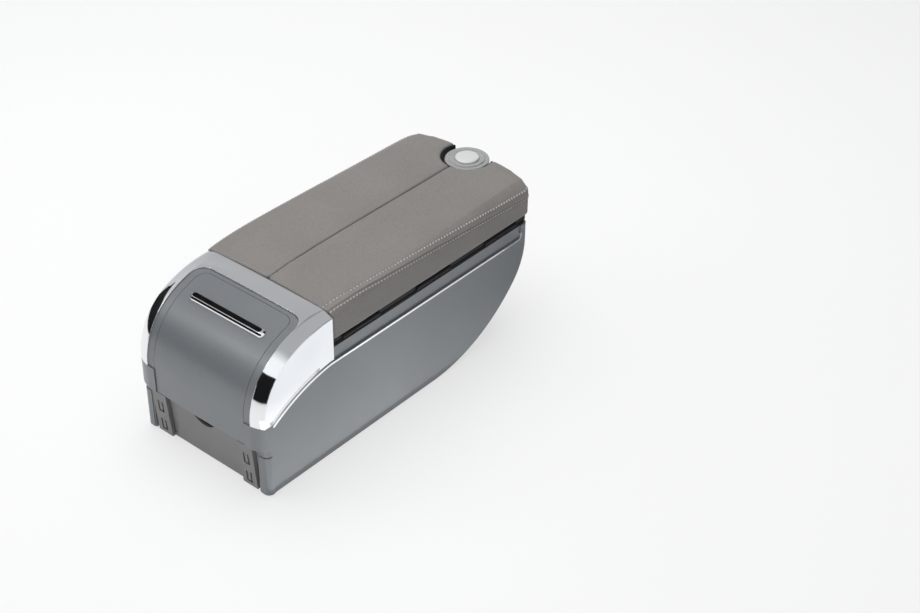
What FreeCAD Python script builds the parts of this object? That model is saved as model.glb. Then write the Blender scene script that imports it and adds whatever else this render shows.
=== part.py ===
"""Car centre armrest: a storage box with two padded side-opening lids and a pull-out cup drawer.

Millimetres, +Z up. The box stands on its flat underside with its length along Y.
The near end (-Y) has the chrome hood and the cup drawer, the far end (+Y) has the round button.
Lengths called d are measured from a plane just ahead of the near end.
"""
import FreeCAD, Part
import math
import os

V = FreeCAD.Vector

# Driving dimensions: the whole box
overall_length = 342.5      # foremost point of the near end to the far edge of the button's ring
nose_margin = 0.7           # lengths called d start this far ahead of the foremost point
box_width = 140.0
rim_height = 101.8          # top of the moulded body behind the hood
base_height = 1.0           # underside of the body, above the bottom plate's underside
wall = 2.8                  # body wall
floor_thickness = 5.0
plan_far_radius = 215.0     # bow of the far end in plan
plan_corner = 6.0
belly_start = 214.4         # d on the centre line at which the flat underside begins to curve up
belly_radius = 140.0
heel_radius = 55.0
body_length = 333.2         # d of the far wall on the centre line

# Near end: side profile of the hood and crown of its cross-section
step_height = 44.5          # lower edge of the drawer front and of the hooded form
face_height = 69.5          # top of the upright part of the near face
nose_radius = 61.3
nose_turn = 65.0            # degrees of the tighter of the two arcs
hood_length = 82.0          # d of the hood's rear edge
crown_flat = 58.0           # half width of the nearly flat middle of the crown
crown_drop = 1.0
shoulder_drop = 5.2
column_setback = 5.2        # corner columns below the step, behind the near face
column_corner = 5.0
foot_proud = 0.6            # feet of the corner columns, proud of the side walls
foot_length = 11.2
foot_height = 38.0

# Chrome hood and window
hood_thickness = 1.6
hood_seat_gap = 0.1
hood_lower_end = 67.7
bead_rows = (1.5, 3.2)      # fine grooves along the cheek's lower edge, above it
bead_width = 0.5
bead_depth = 0.4
bead_end = 66.0
window_half_width = 58.0
window_end = 64.3
window_corner = 12.0
band_drop = 1.0             # grey band and drawer front lie this far below the chrome
cheek_start = (14.0, 67.5)
cheek_middle = (41.0, 81.5)
cheek_end = (78.0, 90.6)

# Side strip and recessed side band
strip_width = 1.8
strip_thickness = 2.1
strip_proud = 0.9
strip_end = 312.5
strip_hook = 3.0
strip_rise = 2.2
band_recess = 1.0

# Cup drawer
door_half_width = 50.6
door_end = 60.8
door_corner = 9.0
seam = 0.35
front_thickness = 2.6
bar_length = 82.0
bar_width = 8.8
bar_proud = 3.2
bar_distance = 37.4         # d of the bar on the nose
bar_sink = 0.8
tray_width = 98.6
tray_length = 135.0
deck_height = 84.0
tray_wall = 2.0
cup_radius = 35.0
pocket_length = 46.0
pocket_margin = 8.0         # from the tray's sides to the pocket
pocket_corner = 6.0
runner_gap = 0.35
guide_wall = 2.0
guide_height = 26.0
guide_start = 12.5
ledge_width = 6.5
ledge_thickness = 3.0
vent_half = 30.0            # openings in the guide's shelf
vent_length = 22.0
vent_starts = (30.0, 66.0, 102.0)
guide_screw_rows = (38.0, 128.0)
front_screw_x = 28.0        # the two screws that hold the front to the tray
front_screw_z = 64.0
front_pad_half = 8.0
front_pad_rise = 10.0
front_pad_depth = 2.6       # behind the front's skin
front_skin_left = 1.4       # skin ahead of the screws' pilot holes
pan_head = 2.6              # radius of the pan-head screws' heads
pan_rise = 1.6

# End plate below the drawer
plate_thickness = 2.2
plate_setback = 8.4
plate_lean = 3.8            # the plate's top is this much nearer than its bottom
plate_half_width = 59.8
rail_centre = 49.0
rail_width = 16.0
rail_raise = 3.0
flex_slot = 1.4             # slots beside the rails
flex_margin = 3.0
tongue_width = 6.5
tongue_height = 11.0
tongue_slot = 1.8
tongue_levels = (10.0, 29.5)
notch_width = 28.0
notch_depth = 9.6

# Bottom plate and its fixings
bottom_thickness = 3.0
bottom_half_width = 66.4
bottom_start = 21.0
bottom_end = 194.0
bottom_corner = 6.0
screw_radius = 1.5
screw_head = 3.0
screw_length = 11.0
screw_column = 57.0         # x of the bottom plate's screws
screw_margin = 9.0          # from the plate's ends to its outer screws
screw_sink = 0.3            # the heads' faces lie this far inside the underside
boss_radius = 4.2
boss_height = 9.0
mount_hole = 2.1
mount_depth = 12.0
mount_spacing_x = 56.0
mount_spacing_y = 110.0
mount_middle = 107.0

# Storage tray
flange_thickness = 1.8
flange_inset = 1.7
tray_gap = 2.0              # air between the body's inner wall and the tray
bin_wall = 2.0
shallow_floor = 88.0
passage_top = 85.5
bin_start = 150.0
tray_inner_half = 60.0

# Lids and hinges
lid_gap = 0.8               # between the tray's flange and the lids' boards
board_top = 108.3
board_inset = 2.0
centre_gap = 0.2
hinge_x = 66.8
hinge_z = 105.2
pin_radius = 1.1
knuckle_radius = 2.4
knuckle_length = 14.0
knuckle_gap = 0.3
pin_fit = 0.05
knuckle_starts = (94.0, 180.0, 266.0)
pad_stations = (            # d, height of the crown and of the outer shoulder
    (82.6, 136.3, 133.2),
    (100.0, 138.0, 136.0),
    (130.0, 139.3, 138.2),
    (190.0, 139.8, 139.0),
    (336.0, 139.6, 138.8),
)
pad_edge_round = 4.0
pad_seam_round = 2.0
lid_length = 333.4          # d of the lids' far edge on the centre line
lid_far_radius = 260.0
lid_corner = 6.0
cut_out_radius = 22.0       # boards and their collars round the button
collar_radius = 23.4
collar_top = 138.0
collar_inset = 0.4

# Button, latch and tower
tower_distance = 323.6
ring_radius = 19.6
ridge_radius = 15.6         # inner ridge, a step above the rim
ring_top = 137.6            # inner ridge of the ring
ring_rim = 136.7            # outer rim
tower_radius = 17.2
tower_top = 133.4
tower_screw_offset = 12.4
bulge_margin = 1.4
bulge_height = 44.0
cap_radius = 10.3
cap_top = 139.0
cap_depth = 11.0
cap_wall = 1.5
cap_plate = 3.0
bore_gap = 0.25
shelf_top = 121.0
shelf_thickness = 3.2
stem_radius = 3.0
stem_fit = 0.06
chamber_x = 12.8
chamber_y = 7.9
bolt_thickness = 3.0
bolt_width = 7.3
bolt_reach = 24.5
bolt_tail = 8.6
bolt_gap = 0.2
leg_width = 5.0
leg_depth = 3.6
coil_radius = 7.0
wire_radius = 0.55
coil_turns = 6.0
coil_steps = 20             # straight runs in each turn of the coil
wire_sides = 8

# Values that follow from the sizes above
near = -overall_length / 2.0 - nose_margin
half_width = box_width / 2.0
up = V(0, 0, 1)
flange_top = rim_height + flange_thickness
guide_floor = step_height - 0.2
tray_front = band_drop + front_thickness + front_pad_depth
pilot_depth = tray_front - band_drop - front_skin_left
board_bottom = flange_top + lid_gap
bolt_bottom = board_top + 0.3
bolt_top = bolt_bottom + bolt_thickness
nose_rad = math.radians(nose_turn)
pad_start = pad_stations[0][0]
crest_radius = (hood_length - nose_radius * (1.0 - math.cos(nose_rad))) / math.cos(nose_rad)
hood_top = face_height + nose_radius * math.sin(nose_rad) + crest_radius * (1.0 - math.sin(nose_rad))


def at(distance):
    """Y of a place at this distance from the near end."""
    return near + distance


def box(x0, x1, d0, d1, z0, z1):
    """Box between two x, two distances from the near end and two heights."""
    return Part.makeBox(x1 - x0, d1 - d0, z1 - z0, V(x0, at(d0), z0))


def rod(radius, length, centre, direction):
    return Part.makeCylinder(radius, length, centre, direction)


def path(start, *steps):
    """Wire from start through steps: one point is a line, two points are an arc's middle and end."""
    edges = []
    here = start
    for step in steps:
        if len(step) == 1:
            edges.append(Part.LineSegment(here, step[0]).toShape())
        else:
            edges.append(Part.Arc(here, step[0], step[1]).toShape())
        here = step[-1]
    return Part.Wire(edges)


def fuse_all(shapes):
    whole = shapes[0]
    for shape in shapes[1:]:
        whole = whole.fuse(shape)
    return whole.removeSplitter()


def mirrored(shape):
    return shape.mirror(V(0, 0, 0), V(1, 0, 0))


def both_sides(shape):
    return shape.fuse(mirrored(shape))


# The tub: a plan outline carried up the belly and the far end
def bowed_plan(half, length, radius, corner):
    """Closed plan outline with a bowed far end whose middle is at the origin."""
    middle_y = -radius
    lean = math.asin((half - corner) / (radius - corner))
    corner_y = middle_y + (radius - corner) * math.cos(lean)
    corner_x = half - corner
    meet = V(corner_x + corner * math.sin(lean), corner_y + corner * math.cos(lean), 0)
    bend = 0.5 * (math.pi / 2.0 + lean)
    middle = V(corner_x + corner * math.sin(bend), corner_y + corner * math.cos(bend), 0)
    side = V(half, corner_y, 0)
    return path(
        V(-half, -length, 0),
        (V(half, -length, 0),),
        (side,),
        (middle, meet),
        (V(0, 0, 0), V(-meet.x, meet.y, 0)),
        (V(-middle.x, middle.y, 0), V(-side.x, side.y, 0)),
        (V(-half, -length, 0),),
    )


def tub_plan(inset, d_near):
    """Plan outline of the tub, from a near distance to the far wall."""
    corner = max(plan_corner - inset, 2.0)
    return bowed_plan(half_width - inset, body_length - inset - d_near, plan_far_radius - inset, corner)


def far_path(inset, top):
    """Side view of the far end at its centre line, from the flat underside up to the top."""
    low = base_height + inset
    belly = belly_radius - inset
    heel = heel_radius - inset
    reach = body_length - belly_start - heel_radius
    sine = reach / (belly_radius - heel_radius)
    turn = math.asin(sine)
    start_y = at(belly_start)
    belly_z = low + belly
    meet = V(0, start_y + belly * math.sin(turn), belly_z - belly * math.cos(turn))
    half_turn = V(0, start_y + belly * math.sin(turn / 2), belly_z - belly * math.cos(turn / 2))
    heel_y = at(body_length) - heel_radius
    heel_z = belly_z - (belly - heel) * math.cos(turn)
    last = 0.5 * (turn + math.pi / 2.0)
    bend = V(0, heel_y + heel * math.sin(last), heel_z - heel * math.cos(last))
    upright = V(0, heel_y + heel, heel_z)
    return path(
        V(0, start_y, low),
        (half_turn, meet),
        (bend, upright),
        (V(0, upright.y, top),),
    )


def tub_block(inset, d_near, z_low, z_high):
    """Solid tub of the box's plan and belly, cut to a near distance and between two heights."""
    plan = tub_plan(inset, d_near)
    plan.translate(V(0, at(belly_start), base_height + inset))
    sweep = Part.BRepOffsetAPI.MakePipeShell(far_path(inset, z_high + 10.0))
    sweep.setTrihedronMode(V(0, 0, 0), V(0, 0, 1))
    sweep.add(plan)
    sweep.build()
    sweep.makeSolid()
    return sweep.shape().common(box(-box_width, box_width, d_near, overall_length + 20.0, z_low, z_high))


# The hooded near end: a crowned cross-section carried up the nose
def crown_face(inset, depth, side_wall):
    """Crowned cross-section, x against depth below the surface. A side wall of zero is a solid section."""
    edge = half_width - inset
    flat = crown_flat - 0.3 * inset
    outer = [
        V(-edge, shoulder_drop + inset, 0),
        V(-0.5 * (edge + flat) - 0.4, inset + crown_drop + 0.36 * (shoulder_drop - crown_drop), 0),
        V(-flat, crown_drop + inset, 0),
        V(0, inset, 0),
    ]
    right = [V(-p.x, p.y, 0) for p in outer]
    steps = [(outer[1], outer[2]), (outer[3], right[2]), (right[1], right[0])]
    if side_wall == 0.0:
        loop = path(outer[0], *steps, (V(edge, depth, 0),), (V(-edge, depth, 0),), (outer[0],))
        return Part.Face(loop)
    return crown_face(inset, depth, 0.0).cut(crown_face(inset + side_wall, depth + 5.0, 0.0))


def nose_sweep(section, z_low, end):
    """Carry a section up the near face, round the nose's two arcs and back to a distance."""
    section = section.copy()
    section.translate(V(0, near, z_low))
    upright = section.extrude(V(0, 0, face_height - z_low))
    section.translate(V(0, 0, face_height - z_low))
    axis = V(1, 0, 0)
    nose_centre = V(0, at(nose_radius), face_height)
    nose = section.revolve(nose_centre, axis, -nose_turn)
    section.rotate(nose_centre, axis, -nose_turn)
    crest_centre = V(0, at(hood_length), hood_top - crest_radius)
    crest = section.revolve(crest_centre, axis, nose_turn - 90.0)
    whole = upright.fuse([nose, crest])
    return whole.common(box(-box_width, box_width, -10.0, end, z_low - 5.0, hood_top + 10.0))


def cheek_region(shift, x0, x1, above):
    """Prism along X of the side region above or below the cheek's lower edge."""
    far_z = hood_top + 40.0 if above else step_height
    end = hood_length + (hood_seat_gap if above else 10.0)
    end_z = cheek_end[1] + shift
    start = V(x0, at(-20.0), cheek_start[1] + shift)
    wire = path(
        start,
        (V(x0, at(cheek_start[0]), cheek_start[1] + shift),),
        (V(x0, at(cheek_middle[0]), cheek_middle[1] + shift), V(x0, at(cheek_end[0]), end_z)),
        (V(x0, at(end), end_z),),
        (V(x0, at(end), far_z),),
        (V(x0, at(-20.0), far_z),),
        (start,),
    )
    return Part.Face(wire).extrude(V(x1 - x0, 0, 0))


def rounded_prism(half, end, corner, z0, z1):
    """Upright prism open to the near end, with two rounded corners at its far end."""
    blend = corner * (1.0 - math.sqrt(0.5))
    wire = path(
        V(-half, at(-20.0), z0),
        (V(half, at(-20.0), z0),),
        (V(half, at(end - corner), z0),),
        (V(half - blend, at(end - blend), z0), V(half - corner, at(end), z0)),
        (V(corner - half, at(end), z0),),
        (V(blend - half, at(end - blend), z0), V(-half, at(end - corner), z0)),
        (V(-half, at(-20.0), z0),),
    )
    return Part.Face(wire).extrude(V(0, 0, z1 - z0))


def near_block(inset, end):
    """Solid inside of the hooded form, from the step up to the roof and back to a distance."""
    swept = nose_sweep(crown_face(inset, nose_radius - 6.0, 0.0), step_height, end)
    inside = box(inset - half_width, half_width - inset, 14.0, end, step_height, face_height + 20.0)
    return swept.fuse(inside)


def upright_edges(block):
    """The upright edges of a block."""
    return [e for e in block.Edges if abs(e.Vertexes[0].Point.z - e.Vertexes[-1].Point.z) > 1.0]


def upright_near(edge):
    """True for an upright edge at the near end of a block."""
    ends = [v.Point for v in edge.Vertexes]
    return abs(ends[0].z - ends[-1].z) > 1.0 and max(p.y for p in ends) < at(column_setback + 1.0)


def screw_places():
    """Places of the bottom plate's screws."""
    rows = (bottom_start + screw_margin, 0.5 * (bottom_start + bottom_end), bottom_end - screw_margin)
    return [(x, d) for x in (-screw_column, screw_column) for d in rows]


def mount_places():
    """Places of the four holes under the box that take the bracket's bolts."""
    x = mount_spacing_x / 2.0
    rows = (mount_middle - mount_spacing_y / 2.0, mount_middle + mount_spacing_y / 2.0)
    return [(side * x, d) for side in (-1, 1) for d in rows]


def bottom_outline(grow, z0, z1):
    """Block of the bottom plate's outline with rounded corners."""
    half = bottom_half_width + grow
    block = box(-half, half, bottom_start - grow, bottom_end + grow, z0, z1)
    return block.makeFillet(bottom_corner + grow, upright_edges(block))


def drawer_ledge():
    """Ledge along the inside of the right wall that carries the drawer's guide."""
    outer = half_width - wall + 0.5
    top = guide_floor - guide_wall
    return box(outer - ledge_width, outer, guide_start + 1.5, bin_start - 6.0, top - ledge_thickness, top)


def bulge(inset):
    """Swelling of the far wall that carries the button's tower, fading into the wall below."""
    low = body_length - tower_distance
    high = tower_radius + bulge_margin
    place = V(0, at(tower_distance), rim_height - bulge_height)
    return Part.makeCone(low - inset, high - inset, bulge_height, place, up)


def make_body_shell():
    """One moulding: tub, corner columns, hooded roof under the chrome, drawer aperture."""
    under_hood = hood_thickness + hood_seat_gap
    tub = tub_block(0.0, 40.0, base_height, rim_height).fuse(bulge(0.0))
    corners = box(-half_width, half_width, column_setback, overall_length, 0.0, step_height + 5.0)
    corners = corners.makeFillet(column_corner, [e for e in corners.Edges if upright_near(e)])
    low = tub_block(0.0, column_setback - 2.0, base_height, step_height).common(corners)
    foot = column_foot()
    skirt = near_block(0.0, hood_length).common(cheek_region(-hood_seat_gap, -80.0, 160.0, False))
    skirt = skirt.cut(box(-80.0, 80.0, -10.0, 12.0, hood_lower_end - hood_seat_gap, hood_top))
    roof = near_block(under_hood, hood_length)
    lip = nose_sweep(crown_face(band_drop, 14.0, under_hood - band_drop + 0.6), step_height, hood_length)
    bezel = rounded_prism(window_half_width - 0.2, window_end - 0.2, window_corner, step_height, 150.0)
    lip = lip.common(bezel)
    recess = cheek_region(-hood_seat_gap, half_width - under_hood, 90.0, True)
    shell = tub.cut(both_sides(recess)).fuse([low, both_sides(foot), skirt, roof, lip])
    cavity = tub_block(wall, hood_length, base_height + floor_thickness, rim_height + 5.0).fuse(bulge(wall))
    front_room = tub_block(wall, column_setback + wall, base_height + floor_thickness, step_height + 1.0)
    hood_room = near_block(under_hood + wall, hood_length - wall)
    inner = half_width - wall
    middle_room = box(-inner, inner, 30.0, hood_length - wall, step_height, cheek_start[1])
    shell = shell.cut([cavity, front_room, hood_room, middle_room])
    low_inside = base_height + floor_thickness
    passage = box(-inner, inner, hood_length - wall - 1.0, hood_length + 1.0, low_inside, passage_top)
    aperture = rounded_prism(door_half_width, door_end, door_corner, step_height, 150.0)
    bay_half = plate_half_width + 0.2
    bay = box(-bay_half, bay_half, -5.0, plate_setback + plate_thickness + 0.3, 0.0, step_height)
    band = side_band(half_width - band_recess, half_width + 5.0, 0.0)
    shell = shell.cut([passage, aperture, bay, both_sides(band)])
    shell = shell.fuse(both_sides(drawer_ledge()))
    bosses = [rod(boss_radius, boss_height, V(x, at(d), base_height + floor_thickness - 0.5), up)
              for x, d in screw_places() + mount_places()]
    shell = shell.fuse(bosses)
    seat = bottom_outline(0.15, -1.0, bottom_thickness + 0.05)
    pilot_z = bottom_thickness - 1.0
    holes = [rod(screw_radius, screw_length, V(x, at(d), pilot_z), up) for x, d in screw_places()]
    holes += [rod(mount_hole, mount_depth, V(x, at(d), -1.0), up) for x, d in mount_places()]
    return shell.cut([seat] + holes)


def column_foot():
    """Foot of the right corner column, standing slightly proud of the side wall."""
    side = half_width + foot_proud
    foot = box(side - 9.0, side, column_setback - foot_proud, foot_length, base_height, foot_height)
    outer = [e for e in foot.Edges if upright_near(e) and e.Vertexes[0].Point.x > half_width]
    return foot.makeFillet(column_corner, outer)


def side_band(x0, x1, grow):
    """Shallow band of the side wall above the strip, with a rounded far lower corner."""
    low = cheek_end[1] - hood_seat_gap - grow
    end = strip_end + grow
    corner = strip_hook + grow
    blend = corner * (1.0 - math.sqrt(0.5))
    wire = path(
        V(x0, at(cheek_end[0] + 4.0), low),
        (V(x0, at(end - corner), low),),
        (V(x0, at(end - blend), low + blend), V(x0, at(end), low + corner)),
        (V(x0, at(end), rim_height + 5.0),),
        (V(x0, at(cheek_end[0] + 4.0), rim_height + 5.0),),
        (V(x0, at(cheek_end[0] + 4.0), low),),
    )
    return Part.Face(wire).extrude(V(x1 - x0, 0, 0))


# Outside trim
def make_chrome_hood():
    """Plated cover over the nose with its two cheeks and the window for the drawer front."""
    shell = nose_sweep(crown_face(0.0, nose_radius - 6.0, hood_thickness), hood_lower_end, hood_length)
    low = face_height - 2.0
    cheeks = box(-half_width, half_width, 30.0, hood_length, low, face_height + 20.0)
    inner = half_width - hood_thickness
    cheeks = cheeks.cut(box(-inner, inner, 25.0, hood_length + 5.0, low - 5.0, face_height + 25.0))
    shell = shell.fuse(cheeks)
    window = rounded_prism(window_half_width, window_end, window_corner, step_height, 150.0)
    beads = [cheek_bead(rise) for rise in bead_rows]
    beads += [mirrored(bead) for bead in beads]
    return shell.cut([cheek_region(0.0, -80.0, 160.0, False), window] + beads)


def cheek_bead(rise):
    """Fine groove in the right cheek's face, following its lower edge at a height above it."""
    x0 = half_width - bead_depth
    line = path(
        V(x0, at(cheek_start[0] - 3.0), cheek_start[1] + rise),
        (V(x0, at(cheek_start[0]), cheek_start[1] + rise),),
        (V(x0, at(cheek_middle[0]), cheek_middle[1] + rise), V(x0, at(cheek_end[0]), cheek_end[1] + rise)),
    )
    band = line.makeOffset2D(bead_width / 2.0, 0, False, False)
    groove = Part.Face(band).extrude(V(5.0, 0, 0))
    return groove.common(box(0.0, box_width, 0.0, bead_end, 0.0, hood_top))


def strip_line(x0):
    """Centre line of the side strip on a plane of constant x."""
    shift = -strip_width / 2.0 - 0.4
    low = cheek_end[1] + shift
    blend = strip_hook * (1.0 - math.sqrt(0.5))
    return path(
        V(x0, at(cheek_start[0]), cheek_start[1] + shift),
        (V(x0, at(cheek_middle[0]), cheek_middle[1] + shift), V(x0, at(cheek_end[0]), low)),
        (V(x0, at(strip_end - strip_hook), low),),
        (V(x0, at(strip_end - blend), low + blend), V(x0, at(strip_end), low + strip_hook)),
        (V(x0, at(strip_end), low + strip_hook + strip_rise),),
    )


def strip_block(grow, proud):
    """Solid of the side strip on the right wall, grown all round for its groove."""
    x0 = half_width + strip_proud - strip_thickness
    band = strip_line(x0).makeOffset2D(strip_width / 2.0 + grow, 0, False, False)
    return Part.Face(band).extrude(V(strip_thickness + proud, 0, 0))


def make_end_plate():
    """Clip-in panel below the drawer: a plan section with two raised rails, leaning back downwards."""
    t = plate_thickness
    inner = rail_centre - rail_width / 2.0
    outer = rail_centre + rail_width / 2.0
    face = plate_setback
    rail = plate_setback - rail_raise
    front = [(plate_half_width, face), (outer, face), (outer, rail), (inner, rail), (inner, face)]
    back = [(inner + t, face + t), (inner + t, rail + t), (outer - t, rail + t), (outer - t, face + t)]
    back.append((plate_half_width, face + t))
    right = [V(x, at(d), base_height) for x, d in front]
    left = [V(-x, at(d), base_height) for x, d in front[::-1]]
    rear_left = [V(-x, at(d), base_height) for x, d in back[::-1]]
    rear_right = [V(x, at(d), base_height) for x, d in back]
    loop = right + left + rear_left + rear_right
    section = Part.Face(Part.makePolygon(loop + [loop[0]]))
    height = step_height - 0.2 - base_height
    plate = section.extrude(V(0, -plate_lean, height))
    cuts = []
    for x in (-rail_centre, rail_centre):
        for z in tongue_levels:
            half = tongue_width / 2.0
            low = z - tongue_height / 2.0
            around = box(x - half, x + half, -5.0, rail + t + 1.0, low, low + tongue_height)
            tongue = half - tongue_slot
            kept = box(x - tongue, x + tongue, -6.0, rail + t + 2.0, low + tongue_slot, z + tongue_height)
            cuts.append(around.cut(kept))
    for x in (-outer - flex_slot, -inner, inner - flex_slot, outer):
        low = base_height + flex_margin
        cuts.append(box(x, x + flex_slot, 0.0, face + t + 1.0, low, step_height - flex_margin))
    notch_radius = (notch_width ** 2 / 4.0 + notch_depth ** 2) / (2.0 * notch_depth)
    notch_z = base_height + height + notch_radius - notch_depth
    cuts.append(rod(notch_radius, 40.0, V(0, at(-10.0), notch_z), V(0, 1, 0)))
    return plate.cut(cuts)


def countersunk_screw(x, d, z, length):
    """Countersunk screw driven upwards, its head's face at this height."""
    place = V(x, at(d), z)
    cone = Part.makeCone(screw_head, screw_radius, screw_head - screw_radius, place, up)
    return rod(screw_radius, length, place, up).fuse(cone)


def make_bottom_plate():
    plate = bottom_outline(0.0, 0.0, bottom_thickness)
    cuts = [rod(mount_hole, mount_depth, V(x, at(d), -1.0), up) for x, d in mount_places()]
    for x, d in screw_places():
        cuts.append(rod(screw_radius, 20.0, V(x, at(d), -5.0), up))
        sink = V(x, at(d), screw_sink)
        cuts.append(Part.makeCone(screw_head, screw_radius, screw_head - screw_radius, sink, up))
        cuts.append(rod(screw_head, 1.3, V(x, at(d), -1.0), up))
    return plate.cut(cuts)


def make_bottom_screws():
    places = screw_places()
    return Part.makeCompound([countersunk_screw(x, d, screw_sink, screw_length) for x, d in places])


# Cup drawer
def door_form(clearance, z0):
    """Upright prism of the drawer front's outline."""
    half = door_half_width - clearance
    return rounded_prism(half, door_end - clearance, door_corner - clearance, z0, 150.0)


def bar_block():
    """Half-round bar with rounded ends, seated in the drawer front on the crest of the nose."""
    lean = math.acos((hood_length - bar_distance) / crest_radius)
    radius = (bar_width ** 2 / 4.0 + bar_proud ** 2) / (2.0 * bar_proud)
    out = V(0, -math.cos(lean), math.sin(lean))
    surface = V(0, at(hood_length), hood_top - crest_radius) + out * (crest_radius - band_drop - 0.3)
    core = surface - out * (radius - bar_proud)
    half = bar_length / 2.0 - radius
    bar = rod(radius, 2.0 * half, core - V(half, 0, 0), V(1, 0, 0))
    ends = [Part.makeSphere(radius, core + V(x, 0, 0)) for x in (-half, half)]
    bar = bar.fuse(ends)
    keep = rod(60.0, 30.0, surface - out * bar_sink, out)
    return bar.common(keep)


def make_drawer_front():
    """Curved front following the nose, with two fixing pads behind it."""
    skin = nose_sweep(crown_face(band_drop, 14.0, front_thickness), step_height, hood_length)
    skin = skin.common(door_form(seam, step_height + 0.4))
    inside = nose_sweep(crown_face(band_drop + 0.5, 14.0, 0.0), step_height, hood_length)
    low = front_screw_z - front_pad_rise
    high = front_screw_z + front_pad_rise
    pads = []
    pilots = []
    for x in (-front_screw_x, front_screw_x):
        pad = box(x - front_pad_half, x + front_pad_half, band_drop + 1.5, tray_front, low, high)
        pads.append(pad.common(inside))
        pilots.append(rod(screw_radius, pilot_depth, V(x, at(tray_front), front_screw_z), V(0, -1, 0)))
    return skin.fuse(pads).cut([bar_block()] + pilots)


def make_drawer_tray():
    """Cup well and card pocket hung from a deck, with skirts that run in the guide."""
    half = tray_width / 2.0
    bottom = guide_floor + runner_gap
    end = tray_front + tray_length
    body = box(-half, half, tray_front, end, bottom, deck_height)
    inner = half - tray_wall
    start = tray_front + tray_wall
    hollow = box(-inner, inner, start, end - tray_wall, bottom - 1.0, deck_height - tray_wall)
    cup_d = start + 3.0 + cup_radius
    well = rod(cup_radius + tray_wall, deck_height - bottom, V(0, at(cup_d), bottom), up)
    pocket_start = cup_d + cup_radius + 6.0
    pocket_end = pocket_start + pocket_length
    pocket_half = half - pocket_margin
    outer = pocket_half + tray_wall
    trough = box(-outer, outer, pocket_start - tray_wall, pocket_end + tray_wall, bottom, deck_height)
    inside = box(-inner, inner, start, end - tray_wall, bottom, deck_height)
    body = body.cut(hollow).fuse([well.common(inside), trough.common(inside)])
    cup = rod(cup_radius, 60.0, V(0, at(cup_d), bottom + tray_wall), up)
    pocket = box(-pocket_half, pocket_half, pocket_start, pocket_end, bottom + tray_wall, deck_height + 5.0)
    pocket = pocket.makeFillet(pocket_corner, upright_edges(pocket))
    holes = []
    for x in (-front_screw_x, front_screw_x):
        place = V(x, at(tray_front - 1.0), front_screw_z)
        holes.append(rod(screw_radius + 0.1, tray_wall + 2.0, place, V(0, 1, 0)))
    front_depth = band_drop + front_thickness + 0.1
    front_room = nose_sweep(crown_face(0.0, 14.0, front_depth), step_height, hood_length)
    return body.cut([cup, pocket, front_room] + holes)


def make_drawer_screws():
    """Two pan-head screws from inside the tray into the drawer front's pads."""
    screws = []
    for x in (-front_screw_x, front_screw_x):
        place = V(x, at(tray_front + tray_wall), front_screw_z)
        shaft = rod(screw_radius, tray_wall + pilot_depth - 0.2, place, V(0, -1, 0))
        head = rod(pan_head, pan_rise, place, V(0, 1, 0))
        screws.append(shaft.fuse(head))
    return Part.makeCompound(screws)


def make_drawer_guide():
    """Shelf across the box on the body's ledges, with two walls that guide the drawer and a back stop."""
    inner = tray_width / 2.0 + runner_gap
    side = half_width - wall - 0.3
    start = guide_start
    end = bin_start - 5.0
    top = guide_floor + guide_height
    shelf = box(-side, side, start, end, guide_floor - guide_wall, guide_floor)
    walls = [box(inner, inner + guide_wall, start, end, guide_floor, top)]
    walls.append(mirrored(walls[0]))
    walls.append(box(-inner - guide_wall, inner + guide_wall, end - guide_wall, end, guide_floor, top))
    vents = []
    for d in vent_starts:
        vents.append(box(-vent_half, vent_half, d, d + vent_length, guide_floor - 10.0, guide_floor + 1.0))
    holes = [rod(screw_radius, 10.0, V(x, at(d), guide_floor - 5.0), up) for x, d in guide_screw_places()]
    return fuse_all([shelf] + walls).cut(vents + holes)


def guide_screw_places():
    """Places of the screws that hold the guide's shelf on the ledges."""
    x = half_width - wall - 3.0
    return [(side * x, d) for side in (-1, 1) for d in guide_screw_rows]


def make_guide_screws():
    screws = []
    for x, d in guide_screw_places():
        head = rod(pan_head, pan_rise, V(x, at(d), guide_floor), up)
        shaft = rod(screw_radius, guide_wall + 2.6, V(x, at(d), guide_floor), V(0, 0, -1))
        screws.append(head.fuse(shaft))
    return Part.makeCompound(screws)


# Storage tray with its hinge knuckles
def knuckle_spans(lid):
    """Start and end distances of the lid's knuckles, or of the tray's on either side of them."""
    spans = []
    for start in knuckle_starts:
        if lid:
            spans.append((start + knuckle_length + knuckle_gap, start + 2.0 * knuckle_length - knuckle_gap))
        else:
            spans.append((start, start + knuckle_length))
            spans.append((start + 2.0 * knuckle_length, start + 3.0 * knuckle_length))
    return spans


def barrel(span, radius):
    return rod(radius, span[1] - span[0], V(hinge_x, at(span[0]), hinge_z), V(0, 1, 0))


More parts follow.
